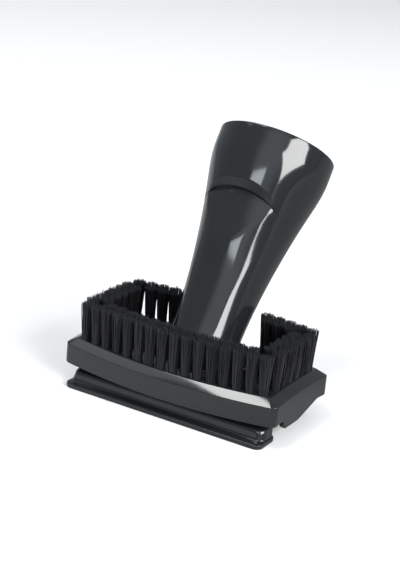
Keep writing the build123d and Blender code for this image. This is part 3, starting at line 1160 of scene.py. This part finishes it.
def moulding_group() -> bpy.types.NodeTree:
    """Node group for a moulded surface: slow colour clouds, uneven gloss and a fine skin.

    Returns:
        The group, with Tone, Gloss and Height outputs.
    """
    group = bpy.data.node_groups.new("moulded_surface", "ShaderNodeTree")
    for label in ("Cloud Scale", "Grain Scale", "Gloss Low", "Gloss High"):
        group.interface.new_socket(label, in_out="INPUT", socket_type="NodeSocketFloat")
    for label in ("Tone", "Gloss", "Height"):
        group.interface.new_socket(label, in_out="OUTPUT", socket_type="NodeSocketFloat")
    nodes = group.nodes
    given, out = nodes.new("NodeGroupInput"), nodes.new("NodeGroupOutput")
    place = nodes.new("ShaderNodeTexCoord")
    clouds = set_inputs(nodes.new("ShaderNodeTexNoise"), {"Detail": CLOUD_DETAIL})
    grain = set_inputs(nodes.new("ShaderNodeTexNoise"), {"Detail": GRAIN_DETAIL})
    gloss = nodes.new("ShaderNodeMapRange")
    wire(
        (place, "Object", clouds, "Vector"),
        (place, "Object", grain, "Vector"),
        (given, "Cloud Scale", clouds, "Scale"),
        (given, "Grain Scale", grain, "Scale"),
        (clouds, "Fac", gloss, "Value"),
        (given, "Gloss Low", gloss, "To Min"),
        (given, "Gloss High", gloss, "To Max"),
        (clouds, "Fac", out, "Tone"),
        (gloss, "Result", out, "Gloss"),
        (grain, "Fac", out, "Height"),
    )
    return group


@dataclass(frozen=True)
class PlasticFinish:
    """Glossy moulded plastic with slow tone changes and a fine moulded skin."""

    name: str
    dark: Triple
    light: Triple
    gloss_low: float
    gloss_high: float
    cloud_scale: float = 55.0
    grain_scale: float = 1400.0
    skin_height: float = 0.02
    skin_distance: float = 0.0002
    ior: float = 1.5

    def material(self, group: bpy.types.NodeTree) -> bpy.types.Material:
        """Builds the material round the shared surface group.

        Args:
            group: The surface group.

        Returns:
            The material.
        """
        made, nodes = new_material(self.name)
        shader = nodes["Principled BSDF"]
        surface = nodes.new("ShaderNodeGroup")
        surface.node_tree = group
        set_inputs(surface, {"Cloud Scale": self.cloud_scale, "Grain Scale": self.grain_scale})
        set_inputs(surface, {"Gloss Low": self.gloss_low, "Gloss High": self.gloss_high})
        tone = colour_mix(nodes, self.dark, self.light)
        bump = nodes.new("ShaderNodeBump")
        set_inputs(bump, {"Strength": self.skin_height, "Distance": self.skin_distance})
        wire(
            (surface, "Tone", tone, "Factor"),
            (tone, "Result", shader, "Base Color"),
            (surface, "Gloss", shader, "Roughness"),
            (surface, "Height", bump, "Height"),
            (bump, "Normal", shader, "Normal"),
        )
        set_inputs(shader, {"IOR": self.ior})
        return made


NOZZLE_FINISH = PlasticFinish(
    "nozzle_grey", dark=(0.0098, 0.0112, 0.0124), light=(0.0132, 0.0148, 0.0163),
    gloss_low=0.07, gloss_high=0.12,
)
FRAME_FINISH = PlasticFinish(
    "frame_grey", dark=(0.0102, 0.0115, 0.0126), light=(0.0136, 0.0152, 0.0165),
    gloss_low=0.08, gloss_high=0.13,
)


@dataclass(frozen=True)
class BristleFinish:
    """Black nylon bristle, each with its own random tone, darkened further in the inner rows as
    painted shade, and a paler cut tip.
    """

    name: str = "black_bristle"
    dark: Triple = (0.0063, 0.0065, 0.0074)
    light: Triple = (0.026, 0.0267, 0.0296)
    tip: Triple = (0.0195, 0.0199, 0.0214)
    tip_from: float = 0.93
    roughness: float = 0.42
    sheen: float = 0.35

    def material(self) -> bpy.types.Material:
        """Builds the material from each bristle's own tone, which carries the inner rows' painted
        shade, and from its height.

        Returns:
            The material.
        """
        made, nodes = new_material(self.name)
        shader = nodes["Principled BSDF"]
        shade, height = nodes.new("ShaderNodeAttribute"), nodes.new("ShaderNodeAttribute")
        # The tone attribute holds each bristle's random tone and, in the inner rows, painted shade.
        shade.attribute_name, height.attribute_name = "bristle_tone_and_painted_shade", "bristle_height"
        tone = colour_mix(nodes, self.dark, self.light)
        cut = set_inputs(nodes.new("ShaderNodeMapRange"), {"From Min": self.tip_from})
        ends = colour_mix(nodes, self.dark, self.tip)
        wire(
            (shade, "Fac", tone, "Factor"),
            (height, "Fac", cut, "Value"),
            (cut, "Result", ends, "Factor"),
            (tone, "Result", ends, "A"),
            (ends, "Result", shader, "Base Color"),
        )
        set_inputs(shader, {"Roughness": self.roughness, "Specular IOR Level": self.sheen})
        return made


@dataclass(frozen=True)
class StapleFinish:
    """Plain steel wire with drawn streaks."""

    name: str = "staple_steel"
    dark: Triple = (0.42, 0.42, 0.43)
    light: Triple = (0.62, 0.62, 0.63)
    streak_scale: float = 900.0
    roughness: float = 0.35

    def material(self) -> bpy.types.Material:
        """Builds the material from fine noise.

        Returns:
            The material.
        """
        made, nodes = new_material(self.name)
        shader = nodes["Principled BSDF"]
        place = nodes.new("ShaderNodeTexCoord")
        streaks = set_inputs(nodes.new("ShaderNodeTexNoise"), {"Scale": self.streak_scale})
        tone = colour_mix(nodes, self.dark, self.light)
        wire(
            (place, "Object", streaks, "Vector"),
            (streaks, "Fac", tone, "Factor"),
            (tone, "Result", shader, "Base Color"),
        )
        set_inputs(shader, {"Metallic": 1.0, "Roughness": self.roughness})
        return made


def dress(piece: bpy.types.Object, material: bpy.types.Material) -> None:
    """Gives a piece one material all over and logs its size.

    Args:
        piece: The piece.
        material: Its material.
    """
    piece.data.materials.clear()
    piece.data.materials.append(material)
    LOG.info("%s: %d faces", piece.name, len(piece.data.polygons))


@dataclass(frozen=True)
class Softbox:
    """A studio softbox, placed by the direction from which the object sees it."""

    name: str
    azimuth: float
    elevation: float
    width: float
    height: float
    radiance: float
    tint: Triple = (1.0, 1.0, 1.0)
    distance: float = 1.5

    def build(self, aim: Vector) -> None:
        """Adds the light, turned to face the object.

        Args:
            aim: Point that it faces.
        """
        azimuth, elevation = math.radians(self.azimuth), math.radians(self.elevation)
        flat = math.cos(elevation)
        way = Vector((math.sin(azimuth) * flat, -math.cos(azimuth) * flat, math.sin(elevation)))
        light = bpy.data.lights.new(self.name, "AREA")
        light.shape = "RECTANGLE"
        light.size = 2 * self.distance * math.tan(math.radians(self.width / 2))
        light.size_y = 2 * self.distance * math.tan(math.radians(self.height / 2))
        light.energy = self.radiance * math.pi * light.size * light.size_y
        light.color = self.tint
        lamp = bpy.data.objects.new(self.name, light)
        bpy.context.scene.collection.objects.link(lamp)
        lamp.location = aim + way * self.distance
        lamp.rotation_euler = way.to_track_quat("Z", "Y").to_euler()


@dataclass(frozen=True)
class Studio:
    """Pale floor, surroundings, softboxes and the camera at the photograph's angle."""

    place: ObjectFrame
    floor_size: float = 8.0
    floor_gap: float = 0.0002
    floor_seen: float = 0.8
    # floor_left to floor_right: the floor's colour as the gloss sees it, painted darker towards the
    # back right as painted shade.
    floor_left: float = 0.57
    floor_right: float = 0.2
    floor_change: float = 0.08
    floor_way: Triple = (1.0, 1.0, 0.0)
    room_left: float = 0.42
    room_right: float = 0.26
    room_tint: Triple = (0.86, 0.94, 1.0)
    glow_way: Triple = (0.36, -0.74, 0.57)
    glow_rim: float = 0.82
    glow_strength: float = 0.95
    image_long_side: int = 570
    focal_pixels: float = 1472.0
    sensor_width: float = 36.0
    clip_near: float = 0.01
    clip_far: float = 50.0
    camera_back: Triple = (0.465, -0.822, 0.330)
    camera_side: Triple = (0.852, 0.516, 0.0856)
    camera_distance: float = 500.0
    camera_right: float = 1.936
    camera_up: float = 31.386

    def softboxes(self) -> list[Softbox]:
        """The lights, by the highlights that they leave.

        Returns:
            The softboxes: azimuth, elevation, width and height in degrees, radiance and tint.
        """
        return [
            Softbox("side_softbox", 75.0, 25.7, 40.0, 26.6, 16.0),
            Softbox("front_softbox", 11.0, 23.2, 24.0, 5.5, 8.0, (0.9, 0.96, 1.0)),
            Softbox("shoulder_softbox", -44.0, 67.0, 25.0, 14.0, 15.0),
            Softbox("left_fill", -72.0, 51.0, 26.0, 18.0, 1.0),
            Softbox("back_softbox", -155.0, 63.0, 34.0, 22.0, 2.0),
        ]

    def build_floor(self) -> None:
        """Adds the floor, paler to the camera than in the gloss, where it is painted darker towards
        the back right as painted shade.
        """
        deselect_all()
        bpy.ops.mesh.primitive_plane_add(size=self.floor_size, location=(0, 0, -self.floor_gap))
        floor = bpy.context.object
        floor.name = "studio_floor"
        made, nodes = new_material("pale_floor")
        nodes.clear()
        out = nodes.new("ShaderNodeOutputMaterial")
        seen = nodes.new("ShaderNodeBsdfDiffuse")
        set_inputs(seen, {"Color": (self.floor_seen,) * 3 + (1,)})
        mirrored = nodes.new("ShaderNodeBsdfDiffuse")
        place = nodes.new("ShaderNodeTexCoord")
        along = along_way(nodes, self.floor_way)
        # Painted shade: in the gloss the floor darkens from floor_left to floor_right along
        # floor_way.
        shade = nodes.new("ShaderNodeMapRange")
        set_inputs(shade, {"From Min": -self.floor_change, "From Max": self.floor_change})
        set_inputs(shade, {"To Min": self.floor_left, "To Max": self.floor_right})
        wire(
            (place, "Object", along, 0),
            (along, "Value", shade, "Value"),
            (shade, "Result", mirrored, "Color"),
        )
        show_or_mirror(seen, mirrored, out)
        floor.data.materials.append(made)

    def build_room(self) -> None:
        """Sets the room: pale to the camera, dimmer on the right, with a soft glow in front."""
        world = bpy.data.worlds.new("studio_room")
        bpy.context.scene.world = world
        world.use_nodes = True
        nodes = world.node_tree.nodes
        nodes.clear()
        out = nodes.new("ShaderNodeOutputWorld")
        place = nodes.new("ShaderNodeTexCoord")
        split = nodes.new("ShaderNodeSeparateXYZ")
        level = set_inputs(nodes.new("ShaderNodeMapRange"), {"From Min": -1.0})
        set_inputs(level, {"To Min": self.room_left, "To Max": self.room_right})
        room = set_inputs(nodes.new("ShaderNodeBackground"), {"Color": (*self.room_tint, 1)})
        pale = set_inputs(nodes.new("ShaderNodeBackground"), {"Color": (1, 1, 1, 1)})
        facing = along_way(nodes, self.glow_way)
        glow = nodes.new("ShaderNodeMapRange")
        glow.interpolation_type = "SMOOTHERSTEP"
        set_inputs(glow, {"From Min": self.glow_rim, "To Max": self.glow_strength})
        total = nodes.new("ShaderNodeMath")
        wire(
            (place, "Generated", split, "Vector"),
            (place, "Generated", facing, 0),
            (facing, "Value", glow, "Value"),
            (split, "X", level, "Value"),
            (level, "Result", total, 0),
            (glow, "Result", total, 1),
            (total, "Value", room, "Strength"),
        )
        show_or_mirror(pale, room, out)

    def build_camera(self) -> None:
        """Adds the camera where the photograph was taken from."""
        back = Vector(self.camera_back).normalized()
        right = Vector(self.camera_side)
        right = (right - back * right.dot(back)).normalized()
        up = back.cross(right)
        spot = back * self.camera_distance + right * self.camera_right + up * self.camera_up
        data = bpy.data.cameras.new("photo_camera")
        data.sensor_width = self.sensor_width
        data.lens = self.focal_pixels * self.sensor_width / self.image_long_side
        data.clip_start, data.clip_end = self.clip_near, self.clip_far
        camera = bpy.data.objects.new("photo_camera", data)
        bpy.context.scene.collection.objects.link(camera)
        turn = Matrix((right, up, back)).transposed().to_4x4()
        turn.translation = (spot + Vector(self.place.origin())) * MM
        camera.matrix_world = turn
        bpy.context.scene.camera = camera

    def build(self) -> None:
        """Sets up the floor, room, lights and camera."""
        self.build_floor()
        self.build_room()
        low, high = CAD_BOX
        for softbox in self.softboxes():
            softbox.build((low + high) / 2)
        self.build_camera()
        bpy.context.scene.view_settings.view_transform = "Standard"


def main() -> None:
    """Builds the pieces in order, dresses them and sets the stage."""
    logging.basicConfig(level=logging.INFO, format="%(name)s: %(message)s")
    place = ObjectFrame()
    body = BrushFrame(place)
    group = moulding_group()
    dress(Nozzle(place).build(), NOZZLE_FINISH.material(group))
    dress(body.build(), FRAME_FINISH.material(group))
    bristle = BristleFinish().material()
    for piece in Bristles(place, body).build():
        dress(piece, bristle)
    dress(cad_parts["tuft_staples"], StapleFinish().material())
    Studio(place).build()


if __name__ == "__main__":
    main()
